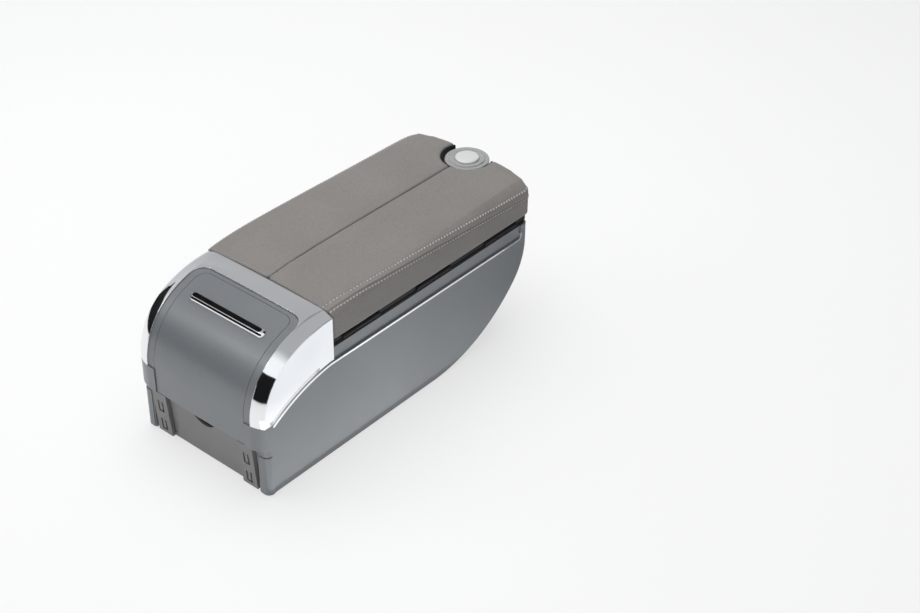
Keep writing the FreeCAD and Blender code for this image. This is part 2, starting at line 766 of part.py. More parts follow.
def make_storage_tray():
    """Rim flange with a shallow tray over the drawer and a deep bin behind it, and the hinge knuckles."""
    outer_gap = wall + tray_gap
    flange = tub_block(flange_inset, hood_length + 0.4, rim_height, flange_top)
    tower_place = V(0, at(tower_distance), rim_height)
    shoulder = rod(tower_radius + 0.9, flange_thickness, tower_place, up)
    bin_low = base_height + floor_thickness + boss_height
    deep = tub_block(outer_gap, bin_start - bin_wall, bin_low, rim_height + 0.5)
    shallow_half = tray_inner_half + bin_wall
    shallow_low = shallow_floor - bin_wall
    shallow = box(-shallow_half, shallow_half, hood_length + 3.0, bin_start, shallow_low, rim_height + 0.5)
    deep_room = tub_block(outer_gap + bin_wall, bin_start, bin_low + bin_wall, flange_top + 5.0)
    half = tray_inner_half
    deep_room = deep_room.common(box(-half, half, bin_start, overall_length + 10.0, 0.0, 150.0))
    shallow_room = box(-half, half, hood_length + 5.0, bin_start - bin_wall, shallow_floor, 150.0)
    recess = tower_radius + 1.4
    deep = deep.cut(rod(recess, rim_height, tower_place, V(0, 0, -1)))
    pillar = rod(recess + bin_wall, 200.0, tower_place - up * 100.0, up)
    tray = flange.fuse([shoulder, deep, shallow])
    tray = tray.cut([deep_room.cut(pillar), shallow_room])
    barrels = []
    notches = []
    bores = []
    for span in knuckle_spans(False):
        inner = hinge_x - knuckle_radius
        web = box(inner, inner + 2.0 * knuckle_radius - 1.0, span[0], span[1], rim_height + 0.1, hinge_z)
        bore = barrel((span[0] - 1.0, span[1] + 1.0), pin_radius)
        barrels.append(barrel(span, knuckle_radius).fuse(web).cut(bore))
        bores.append(bore)
    for span in knuckle_spans(True):
        inner = hinge_x - knuckle_radius - 0.5
        start = span[0] - knuckle_gap
        notches.append(box(inner, 80.0, start, span[1] + knuckle_gap, rim_height - 0.5, 120.0))
    notches = [shape for notch in notches for shape in (notch, mirrored(notch))]
    barrels = [shape for piece in barrels for shape in (piece, mirrored(piece))]
    places = [V(0, at(d), rim_height - 4.0) for d in tower_screw_places()]
    screws = [rod(screw_radius + 0.1, 10.0, place, up) for place in places]
    seats = [shape for bore in bores for shape in (bore, mirrored(bore))]
    return tray.cut(notches).fuse(barrels).cut(screws + seats)


def tower_screw_places():
    """Distances of the two screws driven up into the button's tower."""
    return (tower_distance - tower_screw_offset, tower_distance + tower_screw_offset)


def make_hinge_pins():
    """One plain pin for each group of knuckles on the right side."""
    reach = 3.0 * knuckle_length - 1.0
    return Part.makeCompound([barrel((d + 1.0, d + reach), pin_radius) for d in knuckle_starts])


# Lids
def lid_plan(inset, start, hole):
    """Upright block of the right lid's plan outline with a round hole for the button."""
    length = lid_length - inset - start
    plan = bowed_plan(half_width - inset, length, lid_far_radius - inset, lid_corner - inset)
    plan.translate(V(0, at(lid_length - inset), 60.0))
    block = Part.Face(plan).extrude(V(0, 0, 120.0))
    block = block.cut(rod(hole, 200.0, V(0, at(tower_distance), 0.0), up))
    return block.common(box(centre_gap, 90.0, 0.0, overall_length + 30.0, 50.0, 200.0))


def bolt_room():
    """Room for the latch bolts above the lid's board, through its collar and into the pad."""
    side = bolt_width + 2.5
    start = tower_distance - side
    return box(-5.0, bolt_reach + 2.0, start, start + 2.0 * side, board_top, bolt_top + 2.0)


def make_lid_board():
    """Stiff board under the right pad: knuckles, cut-outs for the tray's, and a collar round the button."""
    board = lid_plan(board_inset, pad_start + 1.0, cut_out_radius)
    board = board.common(box(-5.0, 90.0, 0.0, 400.0, board_bottom, board_top))
    collar = rod(collar_radius, collar_top - board_bottom, V(0, at(tower_distance), board_bottom), up)
    collar = collar.common(lid_plan(collar_inset, pad_start, cut_out_radius))
    board = board.fuse(collar.cut(bolt_room()))
    inner = hinge_x - knuckle_radius - 0.7
    for span in knuckle_spans(False):
        board = board.cut(box(inner, 90.0, span[0] - knuckle_gap, span[1] + knuckle_gap, 90.0, 120.0))
    bores = []
    for span in knuckle_spans(True):
        board = board.fuse(barrel(span, knuckle_radius))
        bores.append(barrel((span[0] - 1.0, span[1] + 1.0), pin_radius + pin_fit))
    return board.cut(bores)


def pad_section(d, crown, shoulder):
    """Cross-section of the right pad: rounded inner edge, crowned top and rounded outer edge."""
    y = at(d)
    inner = centre_gap
    seam_z = crown - pad_seam_round
    edge_x = half_width - pad_edge_round
    s = pad_seam_round * (1.0 - math.sqrt(0.5))
    e = pad_edge_round * (1.0 - math.sqrt(0.5))
    mid_x = 0.5 * (inner + pad_seam_round + edge_x)
    mid_z = shoulder + 0.72 * (crown - shoulder)
    wire = path(
        V(inner, y, board_top),
        (V(inner, y, seam_z),),
        (V(inner + s, y, crown - s), V(inner + pad_seam_round, y, crown)),
        (V(mid_x, y, mid_z), V(edge_x, y, shoulder)),
        (V(half_width - e, y, shoulder - e), V(half_width, y, shoulder - pad_edge_round)),
        (V(half_width, y, board_top),),
        (V(inner, y, board_top),),
    )
    return wire


def make_lid_pad():
    """Padded top of the right lid: rising from the hood's level, hollowed round the button."""
    crown = Part.makeLoft([pad_section(*station) for station in pad_stations], True, False)
    pad = crown.common(lid_plan(0.0, pad_start - 5.0, collar_radius))
    return pad.cut(bolt_room())


# Button, tower and latch
def revolve_profile(points):
    """Solid of revolution about the tower's axis from (radius, height) points."""
    loop = [V(r, 0, z) for r, z in points]
    face = Part.Face(Part.makePolygon(loop + [loop[0]]))
    solid = face.revolve(V(0, 0, 0), V(0, 0, 1), 360.0)
    solid.translate(V(0, at(tower_distance), 0))
    return solid


def tower_box(x0, x1, y0, y1, z0, z1):
    return Part.makeBox(x1 - x0, y1 - y0, z1 - z0, V(x0, at(tower_distance) + y0, z0))


def make_button_tower():
    """Post between the lids: cap bore and stem guide above, latch chamber below."""
    bore = cap_radius + bore_gap
    tower = revolve_profile([
        (0.0, flange_top), (tower_radius, flange_top), (tower_radius, tower_top), (bore, tower_top),
        (bore, shelf_top), (0.0, shelf_top),
    ])
    stem_hole = rod(stem_radius + stem_fit, 40.0, V(0, at(tower_distance), flange_top), up)
    ceiling = shelf_top - shelf_thickness
    chamber = tower_box(-chamber_x, chamber_x, -chamber_y, chamber_y, flange_top - 1.0, ceiling)
    side = bolt_width + bolt_gap
    channel = tower_box(-30.0, 30.0, -side, side, bolt_bottom - bolt_gap, bolt_top + bolt_gap)
    pilots = [rod(screw_radius, 12.0, V(0, at(d), flange_top - 1.0), up) for d in tower_screw_places()]
    return tower.cut([stem_hole, chamber, channel] + pilots)


def make_button_ring():
    """Stepped bezel round the button, seated on the tower."""
    bore = cap_radius + bore_gap
    return revolve_profile([
        (bore, tower_top), (tower_radius + 0.05, tower_top), (tower_radius + 0.05, tower_top - 4.0),
        (ring_radius - 0.6, tower_top - 4.0), (ring_radius, tower_top - 2.5), (ring_radius, ring_rim - 1.2),
        (ring_radius - 0.35, ring_rim - 0.35), (ring_radius - 1.2, ring_rim), (ridge_radius + 0.9, ring_rim),
        (ridge_radius + 0.3, ring_rim - 0.3), (ridge_radius, ring_rim + 0.2),
        (ridge_radius - 0.3, ring_top - 0.3),
        (ridge_radius - 1.0, ring_top), (ridge_radius - 2.2, ring_top), (ridge_radius - 2.8, ring_top - 0.5),
        (bore + 0.8, ring_top - 0.6), (bore, ring_top - 0.9),
    ])


def make_button_cap():
    """Domed cap with a skirt that runs in the tower and a hub for the plunger's stem."""
    dome = cap_top - 0.5
    inner = cap_radius - cap_wall
    cap = revolve_profile([
        (0.0, cap_top - cap_plate), (inner, cap_top - cap_plate), (inner, cap_top - cap_depth),
        (cap_radius, cap_top - cap_depth), (cap_radius, dome - 0.5), (cap_radius - 0.5, dome),
        (6.0, cap_top - 0.12), (0.0, cap_top),
    ])
    place = V(0, at(tower_distance), cap_top - cap_plate - 5.0)
    hub = rod(stem_radius + 1.6, 5.5, place, up)
    return cap.fuse(hub).cut(rod(stem_radius, 5.0, place, up))


def leg(side):
    """Leaning leg of the plunger: it shifts its bolt sideways by as much as the button goes down."""
    low = bolt_bottom - 1.0
    high = bolt_top + 3.6
    middle = 0.5 * (bolt_bottom + bolt_top)
    half = leg_width / 2.0
    points = [(low, -half), (low, half), (high, half), (high, -half)]
    y0 = at(tower_distance) + side * (0.5 * bolt_width + 0.1) - leg_depth / 2.0
    loop = [V(side * (z - middle) + dx, y0, z) for z, dx in points]
    return Part.Face(Part.makePolygon(loop + [loop[0]])).extrude(V(0, leg_depth, 0))


def make_button_plunger():
    block_low = bolt_top + 3.4
    block_high = shelf_top - shelf_thickness - 0.3
    block = tower_box(-8.2, 8.2, -6.4, 6.4, block_low, block_high)
    stem = rod(stem_radius, cap_top - cap_plate - block_high, V(0, at(tower_distance), block_high), up)
    return fuse_all([block, stem, leg(1), leg(-1)])


def make_latch_bolt(side):
    """Flat bolt with a leaning window for the plunger's leg and a bevelled nose that holds the lid."""
    centre = at(tower_distance)
    y0, y1 = (0.15, bolt_width) if side > 0 else (-bolt_width, -0.15)
    bar = tower_box(-bolt_reach, bolt_tail, y0, y1, bolt_bottom, bolt_top)
    if side < 0:
        bar = tower_box(-bolt_tail, bolt_reach, y0, y1, bolt_bottom, bolt_top)
    middle = 0.5 * (bolt_bottom + bolt_top)
    half = leg_width / 2.0 + 0.1
    low = bolt_bottom - 1.0
    high = bolt_top + 1.0
    points = [(low, -half), (low, half), (high, half), (high, -half)]
    wy = centre + side * (0.5 * bolt_width + 0.1) - leg_depth / 2.0 - 0.15
    loop = [V(side * (z - middle) + dx, wy, z) for z, dx in points]
    window = Part.Face(Part.makePolygon(loop + [loop[0]])).extrude(V(0, leg_depth + 0.3, 0))
    tip = -side * bolt_reach
    bevel_points = [(tip, bolt_top + 0.1), (tip, bolt_bottom + 0.8), (tip + side * 2.4, bolt_top + 0.1)]
    bevel_loop = [V(x, centre - 20.0, z) for x, z in bevel_points]
    bevel = Part.Face(Part.makePolygon(bevel_loop + [bevel_loop[0]])).extrude(V(0, 40.0, 0))
    return bar.cut([window, bevel])


def make_button_spring():
    """Coil with closed, flat ends between the tower's shelf and the cap's underside."""
    low = shelf_top + 0.1 + wire_radius
    high = cap_top - cap_plate - 0.1 - wire_radius
    closed = 2.0 * wire_radius + 0.05
    steps = round(coil_turns * coil_steps)
    rings = []
    for step in range(steps + 1):
        turns = step / coil_steps
        free = (turns - 1.0) / (coil_turns - 2.0)
        if turns < 1.0:
            height = low + closed * turns
        elif turns > coil_turns - 1.0:
            height = high - closed * (coil_turns - turns)
        else:
            height = low + closed + (high - low - 2.0 * closed) * free
        angle = 2.0 * math.pi * turns
        ring = []
        for corner in range(wire_sides + 1):
            around = 2.0 * math.pi * (corner + 0.5) / wire_sides
            reach = coil_radius + wire_radius * math.cos(around)
            rise = height + wire_radius * math.sin(around)
            ring.append(V(reach * math.cos(angle), reach * math.sin(angle), rise))
        rings.append(Part.makePolygon(ring))
    coil = Part.makeLoft(rings, True, True)
    coil.translate(V(0, at(tower_distance), 0))
    return coil


def make_tower_screws():
    screws = []
    for d in tower_screw_places():
        shaft = rod(screw_radius, flange_thickness + 10.0, V(0, at(d), rim_height), up)
        head = rod(pan_head, pan_rise, V(0, at(d), rim_height), V(0, 0, -1))
        screws.append(shaft.fuse(head))
    return Part.makeCompound(screws)


def make_parts():
    strip = strip_block(0.0, 0.0)
    pins = make_hinge_pins()
    board = make_lid_board()
    pad = make_lid_pad()
    grooves = strip_block(0.05, 1.0)
    body = make_body_shell().cut([grooves, mirrored(grooves)])
    down = V(0, 0, -1)
    body = body.cut([rod(screw_radius, 8.0, V(x, at(d), guide_floor), down) for x, d in guide_screw_places()])
    return {
        "body_shell": body,
        "chrome_hood": make_chrome_hood(),
        "side_strip_right": strip,
        "side_strip_left": mirrored(strip),
        "end_plate": make_end_plate(),
        "bottom_plate": make_bottom_plate(),
        "bottom_screws": make_bottom_screws(),
        "storage_tray": make_storage_tray(),
        "drawer_guide": make_drawer_guide(),
        "guide_screws": make_guide_screws(),
        "drawer_front": make_drawer_front(),
        "drawer_bar": bar_block(),
        "drawer_tray": make_drawer_tray(),
        "drawer_screws": make_drawer_screws(),
        "hinge_pins_right": pins,
        "hinge_pins_left": mirrored(pins),
        "lid_board_right": board,
        "lid_board_left": mirrored(board),
        "lid_pad_right": pad,
        "lid_pad_left": mirrored(pad),
        "button_tower": make_button_tower(),
        "button_ring": make_button_ring(),
        "button_cap": make_button_cap(),
        "button_plunger": make_button_plunger(),
        "button_spring": make_button_spring(),
        "latch_bolt_left": make_latch_bolt(1),
        "latch_bolt_right": make_latch_bolt(-1),
        "tower_screws": make_tower_screws(),
    }


os.makedirs("parts", exist_ok=True)
for name, shape in make_parts().items():
    shape.exportStep("parts/" + name + ".step")
    print(name, shape.isValid(), len(shape.Solids), round(shape.Volume / 1000.0, 2))
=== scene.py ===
# %% [markdown]
# Car centre armrest. The solids of this part come from its CAD model, and this lesson dresses them:
# leather cushions with their stitching on the two lids, plated and moulded finishes on the rest,
# and a plain studio round it. We begin by loading the solids as a fixed frame, in metres.

# %% Load the fixed frame
import bpy
import bmesh
import math
from mathutils import Matrix, Vector, noise
from mathutils.bvhtree import BVHTree


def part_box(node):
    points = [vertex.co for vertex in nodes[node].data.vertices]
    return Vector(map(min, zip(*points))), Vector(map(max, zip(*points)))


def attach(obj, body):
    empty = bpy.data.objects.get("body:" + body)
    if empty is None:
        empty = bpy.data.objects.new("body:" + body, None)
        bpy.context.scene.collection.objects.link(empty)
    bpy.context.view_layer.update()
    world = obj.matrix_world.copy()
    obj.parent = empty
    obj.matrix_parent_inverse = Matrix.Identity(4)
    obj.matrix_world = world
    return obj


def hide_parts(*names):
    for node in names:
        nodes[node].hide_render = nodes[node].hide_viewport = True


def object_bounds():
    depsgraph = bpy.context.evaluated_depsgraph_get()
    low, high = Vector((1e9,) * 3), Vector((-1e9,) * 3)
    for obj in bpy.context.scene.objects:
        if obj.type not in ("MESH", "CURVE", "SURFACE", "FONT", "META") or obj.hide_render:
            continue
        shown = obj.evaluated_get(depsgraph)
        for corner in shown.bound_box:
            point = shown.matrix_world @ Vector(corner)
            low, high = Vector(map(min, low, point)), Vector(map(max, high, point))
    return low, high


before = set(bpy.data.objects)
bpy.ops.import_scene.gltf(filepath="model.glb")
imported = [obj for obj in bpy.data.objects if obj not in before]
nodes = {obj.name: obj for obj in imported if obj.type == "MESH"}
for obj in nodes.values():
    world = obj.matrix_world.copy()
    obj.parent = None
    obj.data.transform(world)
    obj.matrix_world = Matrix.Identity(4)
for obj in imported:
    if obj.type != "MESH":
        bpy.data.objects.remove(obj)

cad_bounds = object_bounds()
scene = bpy.context.scene
mm = 0.001
print("solids:", len(nodes), "size:", [round(high - low, 4) for low, high in zip(*cad_bounds)])

# %% [markdown]
# Every finish below is a node material. The same few nodes are needed again and again: a pattern in
# object coordinates, a ramp that turns it into a colour or a roughness, and a bump. Small helpers
# keep each finish short, so that its recipe can be read at a glance. The bevel node gives the plated
# pieces the tiny edge radius that catches the light.

# %% Helpers for materials
def start_material(name, roughness, metallic=0.0):
    """A new material with its shader and a node for object coordinates."""
    material = bpy.data.materials.new(name)
    material.use_nodes = True
    tree = material.node_tree
    shader = tree.nodes["Principled BSDF"]
    shader.inputs["Metallic"].default_value = metallic
    shader.inputs["Roughness"].default_value = roughness
    return material, tree, shader, tree.nodes.new("ShaderNodeTexCoord").outputs["Object"]


def cloudy(tree, place, scale, detail=3.0):
    """Soft noise of this scale, in patches per metre."""
    node = tree.nodes.new("ShaderNodeTexNoise")
    node.inputs["Scale"].default_value = scale
    node.inputs["Detail"].default_value = detail
    tree.links.new(place, node.inputs["Vector"])
    return node.outputs["Fac"]


def cells(tree, place, scale, feature="F1"):
    """Voronoi cells of this scale, for grain and pores."""
    node = tree.nodes.new("ShaderNodeTexVoronoi")
    node.feature = feature
    node.inputs["Scale"].default_value = scale
    tree.links.new(place, node.inputs["Vector"])
    return node.outputs["Distance"]


def stretched(tree, place, scale):
    """The same coordinates, stretched by a scale on each axis."""
    node = tree.nodes.new("ShaderNodeMapping")
    node.inputs["Scale"].default_value = scale
    tree.links.new(place, node.inputs["Vector"])
    return node.outputs["Vector"]


def ramp(tree, factor, stops):
    """Colour ramp from (position, value or colour) stops."""
    node = tree.nodes.new("ShaderNodeValToRGB")
    elements = node.color_ramp.elements
    while len(elements) < len(stops):
        elements.new(0.5)
    for element, (position, value) in zip(elements, stops):
        element.position = position
        element.color = (*value, 1.0) if isinstance(value, tuple) else (value, value, value, 1.0)
    tree.links.new(factor, node.inputs["Fac"])
    return node.outputs["Color"]


def mixed(tree, factor, first, second, kind="MIX"):
    """Two colours mixed by a factor, which is a number or another output."""
    node = tree.nodes.new("ShaderNodeMix")
    node.data_type = "RGBA"
    node.blend_type = kind
    if isinstance(factor, float):
        node.inputs[0].default_value = factor
    else:
        tree.links.new(factor, node.inputs[0])
    tree.links.new(first, node.inputs[6])
    tree.links.new(second, node.inputs[7])
    return node.outputs[2]


def bump(tree, height, distance, below=None):
    """Bump of this depth in metres, on top of another bump if there is one."""
    node = tree.nodes.new("ShaderNodeBump")
    node.inputs["Distance"].default_value = distance
    tree.links.new(height, node.inputs["Height"])
    if below is not None:
        tree.links.new(below, node.inputs["Normal"])
    return node.outputs["Normal"]


def soft_edges(tree, radius):
    """The tiny radius that a plated edge has, as a normal for the shading."""
    node = tree.nodes.new("ShaderNodeBevel")
    node.samples = 4
    node.inputs["Radius"].default_value = radius
    return node.outputs["Normal"]


def math_step(tree, kind, *values):
    """One step of arithmetic on sockets or numbers."""
    node = tree.nodes.new("ShaderNodeMath")
    node.operation = kind
    for socket, value in zip(node.inputs, values):
        if isinstance(value, (int, float)):
            socket.default_value = value
        else:
            tree.links.new(value, socket)
    return node.outputs["Value"]


def plug(tree, shader, **outputs):
    """Connect outputs to the shader's sockets by name, with _ for a space."""
    for name, output in outputs.items():
        tree.links.new(output, shader.inputs[name.replace("_", " ")])


print("material helpers ready")

# %% [markdown]
# Moulded plastic is never one flat colour. The mould's fine spark-eroded grain scatters the light,
# and the shade drifts a little across a large wall. One recipe serves all the plastics here, with
# its own colours, grain and gloss for each.

# %% Moulded plastics
def moulded_plastic(name, dark, light, roughness, grain_size, grain_depth, specular=0.5):
    """Plastic between two shades, with a grain of this size and depth."""
    material, tree, shader, place = start_material(name, roughness)
    shader.inputs["Specular IOR Level"].default_value = specular
    drift = cloudy(tree, place, 9.0, 4.0)
    speck = cloudy(tree, place, 1.0 / (4.0 * grain_size), 2.0)
    colour = ramp(tree, drift, [(0.3, dark), (0.7, light)])
    fine = ramp(tree, speck, [(0.3, 0.94), (0.7, 1.0)])
    handled = cloudy(tree, place, 42.0, 5.0)
    gloss = ramp(tree, handled, [(0.25, roughness - 0.03), (0.75, roughness + 0.05)])
    grain = cells(tree, place, 1.0 / grain_size)
    surface = bump(tree, cloudy(tree, place, 22.0, 2.0), 0.12 * mm)
    surface = bump(tree, grain, grain_depth, surface)
    speckled = mixed(tree, 1.0, colour, fine, "MULTIPLY")
    plug(tree, shader, Base_Color=speckled, Roughness=gloss, Normal=surface)
    return material


grey_plastic = moulded_plastic(
    "grey_plastic", dark=(0.128, 0.140, 0.151), light=(0.150, 0.163, 0.174),
    roughness=0.31, grain_size=0.5 * mm, grain_depth=0.012 * mm, specular=1.0)
panel_plastic = moulded_plastic(
    "warm_grey_panel", dark=(0.160, 0.158, 0.156), light=(0.184, 0.181, 0.178),
    roughness=0.40, grain_size=0.5 * mm, grain_depth=0.02 * mm)
black_plastic = moulded_plastic(
    "black_plastic", dark=(0.005, 0.005, 0.006), light=(0.009, 0.009, 0.010),
    roughness=0.5, grain_size=0.6 * mm, grain_depth=0.03 * mm, specular=0.2)
ring_plastic = moulded_plastic(
    "ring_plastic", dark=(0.30, 0.302, 0.298), light=(0.345, 0.347, 0.342),
    roughness=0.22, grain_size=0.4 * mm, grain_depth=0.006 * mm, specular=0.8)
white_acetal = moulded_plastic(
    "white_acetal", dark=(0.62, 0.62, 0.59), light=(0.70, 0.70, 0.67),
    roughness=0.34, grain_size=0.4 * mm, grain_depth=0.01 * mm)
base_plastic = moulded_plastic(
    "base_plastic", dark=(0.020, 0.021, 0.022), light=(0.030, 0.031, 0.033),
    roughness=0.5, grain_size=0.7 * mm, grain_depth=0.04 * mm)
print("plastics ready")

# %% [markdown]
# Chrome on plastic is a mirror with a very slight orange peel. Handling leaves faint smears, which
# only show as small changes of gloss. Too much bump would turn the mirror into foil.

# %% Chrome plating
def chrome_plating(name, edge_radius):
    """Mirror plating whose edges are rounded by this radius in the shading."""
    material, tree, shader, place = start_material(name, 0.07, 1.0)
    depth = cloudy(tree, place, 14.0, 2.0)
    tint = ramp(tree, depth, [(0.3, (0.80, 0.81, 0.83)), (0.7, (0.88, 0.885, 0.89))])
    smear = cloudy(tree, stretched(tree, place, (1.0, 0.35, 1.0)), 60.0, 6.0)
    gloss = ramp(tree, smear, [(0.35, 0.05), (0.6, 0.085), (0.8, 0.14)])
    peel = bump(tree, cloudy(tree, place, 260.0, 1.0), 0.010 * mm, soft_edges(tree, edge_radius))
    plug(tree, shader, Base_Color=tint, Roughness=gloss, Normal=peel)
    return material


hood_edge_radius = 1.3 * mm
trim_edge_radius = 0.25 * mm
chrome = chrome_plating("chrome_plating", hood_edge_radius)
bright_trim = chrome_plating("bright_trim", trim_edge_radius)
print("chrome ready")

# %% [markdown]
# The bar on the drawer front is chrome with painted shade along its crest: a black band that stands
# in for the dark middle of the handle. The band has no mesh of its own: its outline is the distance
# from a short line along the bar, worked out in the material from the bar's own coordinates.

# %% The bar's painted shade
across_bar = Vector((0.0, 0.939, 0.343))
painted_shade_half_line = 35.6 * mm
painted_shade_shift = 0.5 * mm
painted_shade_ramp_length = 5.0 * mm


def painted_shade_bar(bar):
    """Chrome with a black band of painted shade along the bar's crest, rounded at both ends."""
    material = chrome_plating("painted_shade_bar", trim_edge_radius)
    tree = material.node_tree
    shader = tree.nodes["Principled BSDF"]
    spread = [vertex.co.dot(across_bar) for vertex in bar.data.vertices]
    middle = 0.5 * (min(spread) + max(spread)) + painted_shade_shift
    place = tree.nodes.new("ShaderNodeTexCoord").outputs["Object"]
    parts = tree.nodes.new("ShaderNodeSeparateXYZ")
    tree.links.new(place, parts.inputs["Vector"])
    share_y = math_step(tree, "MULTIPLY", parts.outputs["Y"], across_bar.y)
    share_z = math_step(tree, "MULTIPLY_ADD", parts.outputs["Z"], across_bar.z, -middle)
    beside = math_step(tree, "ABSOLUTE", math_step(tree, "ADD", share_y, share_z))
    past_line = math_step(tree, "SUBTRACT", math_step(tree, "ABSOLUTE", parts.outputs["X"]), painted_shade_half_line)
    beyond = math_step(tree, "MAXIMUM", past_line, 0.0)
    squares = [math_step(tree, "POWER", value, 2.0) for value in (beside, beyond)]
    reach = math_step(tree, "SQRT", math_step(tree, "ADD", *squares))
    # Painted shade: a black band along the crest, mixed over the chrome's own tint.
    painted_shade_mask = ramp(tree, math_step(tree, "DIVIDE", reach, painted_shade_ramp_length), [(0.42, 1.0), (0.50, 0.0)])
    tint = shader.inputs["Base Color"].links[0].from_socket
    depth = cloudy(tree, place, 90.0, 2.0)
    black = ramp(tree, depth, [(0.3, (0.010, 0.010, 0.011)), (0.7, (0.022, 0.022, 0.023))])
    plug(tree, shader, Base_Color=mixed(tree, painted_shade_mask, tint, black))
    return material


# The drawer bar's chrome carries the black band of painted shade.
bar_chrome_with_painted_shade = painted_shade_bar(nodes["drawer_bar"])
print("bar shade_painted")

# %% [markdown]
# The button's cap is sprayed silver: fine flakes under a satin lacquer. The screws, pins and the
# spring are zinc-plated steel with the drawn lines that the wire and bar come with.

# %% Silver paint and steel
def silver_paint():
    """Silver lacquer with fine flakes."""
    material, tree, shader, place = start_material("silver_paint", 0.34, 0.55)
    flakes = cells(tree, place, 5200.0)
    colour = ramp(tree, flakes, [(0.0, (0.70, 0.71, 0.705)), (0.6, (0.84, 0.85, 0.842))])
    gloss = ramp(tree, cloudy(tree, place, 300.0, 4.0), [(0.3, 0.30), (0.7, 0.38)])
    shader.inputs["Coat Weight"].default_value = 0.3
    shader.inputs["Coat Roughness"].default_value = 0.12
    plug(tree, shader, Base_Color=colour, Roughness=gloss, Normal=bump(tree, flakes, 0.004 * mm))
    return material


def zinc_steel():
    """Zinc-plated steel, drawn along Z."""
    material, tree, shader, place = start_material("zinc_steel", 0.3, 1.0)
    lines = cloudy(tree, stretched(tree, place, (1.0, 1.0, 0.04)), 2600.0, 2.0)
    colour = ramp(tree, lines, [(0.25, (0.46, 0.46, 0.47)), (0.75, (0.60, 0.60, 0.61))])
    gloss = ramp(tree, cloudy(tree, place, 700.0, 3.0), [(0.3, 0.24), (0.7, 0.4)])
    plug(tree, shader, Base_Color=colour, Roughness=gloss, Normal=bump(tree, lines, 0.01 * mm))
    return material


silver = silver_paint()
steel = zinc_steel()
print("metals ready")

# %% [markdown]
# The lids wear a warm grey car leather. Its pebbled grain is about a millimetre across, with
# finer pores in the valleys, and the pebbles' tops are rubbed a little smoother than the valleys.
# The thread is a shade lighter than the hide and twisted, so its own bump runs across it.

# %% Leather and thread
def car_leather():
    """Pebbled warm grey hide."""
    material, tree, shader, place = start_material("car_leather", 0.5)
    shader.inputs["Specular IOR Level"].default_value = 0.35
    shader.inputs["Sheen Weight"].default_value = 0.06
    shader.inputs["Sheen Roughness"].default_value = 0.5
    pebbles = cells(tree, place, 900.0, "SMOOTH_F1")
    pores = cloudy(tree, place, 3800.0, 2.0)
    drift = cloudy(tree, place, 16.0, 5.0)
    shades = [(0.25, (0.188, 0.175, 0.162)), (0.55, (0.210, 0.197, 0.184)), (0.8, (0.227, 0.214, 0.200))]
    hide = ramp(tree, drift, shades)
    # Painted shade: the grain's valleys are painted darker than the pebbles' tops.
    valley_painted_shade = ramp(tree, pebbles, [(0.15, 1.0), (0.75, 0.86)])
    gloss = ramp(tree, pebbles, [(0.1, 0.46), (0.7, 0.60)])
    surface = bump(tree, cloudy(tree, place, 70.0, 3.0), 0.25 * mm)
    surface = bump(tree, ramp(tree, pebbles, [(0.1, 1.0), (0.7, 0.0)]), 0.06 * mm, surface)
    surface = bump(tree, pores, 0.02 * mm, surface)
    shaded = mixed(tree, 1.0, hide, valley_painted_shade, "MULTIPLY")
    plug(tree, shader, Base_Color=shaded, Roughness=gloss, Normal=surface)
    return material


def sewing_thread():
    """Light grey twisted thread."""
    material, tree, shader, place = start_material("sewing_thread", 0.55)
    shader.inputs["Sheen Weight"].default_value = 0.2
    twist = cloudy(tree, stretched(tree, place, (1.0, 3.0, 1.0)), 2500.0, 1.0)
    colour = ramp(tree, twist, [(0.3, (0.40, 0.385, 0.36)), (0.7, (0.56, 0.545, 0.515))])
    plug(tree, shader, Base_Color=colour, Normal=bump(tree, twist, 0.06 * mm))
    return material


leather = car_leather()
thread = sewing_thread()
print("leather and thread ready")

# %% [markdown]
# The rigid solids keep their shape from the CAD model, so they only need the right finish in their
# material slots. A table says which piece has which.

# %% Finish the rigid solids
finishes = {
    grey_plastic: ("body_shell", "drawer_front"),
    panel_plastic: ("end_plate",),
    black_plastic: ("storage_tray", "drawer_guide", "drawer_tray", "lid_board_right", "lid_board_left",
                    "button_tower"),
    base_plastic: ("bottom_plate",),
    chrome: ("chrome_hood",),
    bright_trim: ("side_strip_right", "side_strip_left"),
    bar_chrome_with_painted_shade: ("drawer_bar",),
    ring_plastic: ("button_ring",),
    silver: ("button_cap",),
    white_acetal: ("button_plunger", "latch_bolt_left", "latch_bolt_right"),
    steel: ("bottom_screws", "guide_screws", "drawer_screws", "tower_screws", "hinge_pins_right",
            "hinge_pins_left", "button_spring"),
}
for finish, names in finishes.items():
    for name in names:
        mesh = nodes[name].data
        if not mesh.materials:
            mesh.materials.append(finish)
        for slot in range(len(mesh.materials)):
            mesh.materials[slot] = finish
print("finished:", sum(len(names) for names in finishes.values()), "solids")

# %% [markdown]
# A lid's cushion is foam wrapped in leather. It starts as a copy of its solid, remeshed into even
# squares, and a short cloth simulation with air pressure lets the hide belly out between its edges.
# The underside is pinned, because it is glued to a stiff board. A cap on how far a point may move
# keeps the foam firm, and the solid's own outline stays recognisable.

# %% Helpers for the cushions
def only(obj):
    """Select this object alone and make it active."""
    for other in bpy.context.selected_objects:
        other.select_set(False)
    obj.select_set(True)
    bpy.context.view_layer.objects.active = obj


def apply_modifier(obj, kind, **values):
    """Add a modifier, set its values and apply it."""
    only(obj)
    modifier = obj.modifiers.new(kind.lower(), kind)
    for key, value in values.items():
        setattr(modifier, key, value)
    bpy.ops.object.modifier_apply(modifier=modifier.name)


